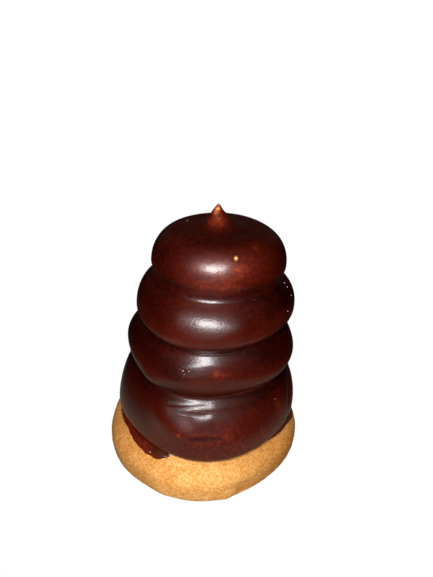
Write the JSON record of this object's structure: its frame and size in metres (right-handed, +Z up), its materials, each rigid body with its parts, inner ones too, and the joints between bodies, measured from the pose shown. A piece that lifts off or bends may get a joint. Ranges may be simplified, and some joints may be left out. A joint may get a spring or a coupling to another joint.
{
  "type": "chocolate-coated cream swirl cake",
  "caption": "Tall swirl of piped cream in a glossy dark chocolate coat, drawn up to a peaked tip, standing on a round golden sponge base.",
  "frame": {"origin": "on the surface that the cake stands on, under the middle of its outline", "axes": "+Z up, -Y towards the side that is pictured, +X to the right of that view"},
  "size_m": [0.0538, 0.0552, 0.0697],
  "materials": {
    "sponge": "fine dry golden-brown sponge crumb, matt, a little darker round the side",
    "chocolate": "satin dark chocolate coat, red-brown where it is thin"
  },
  "bodies": {
    "root": {"sponge_base": "sponge", "chocolate_swirl": "chocolate"}
  },
  "joints": []
}
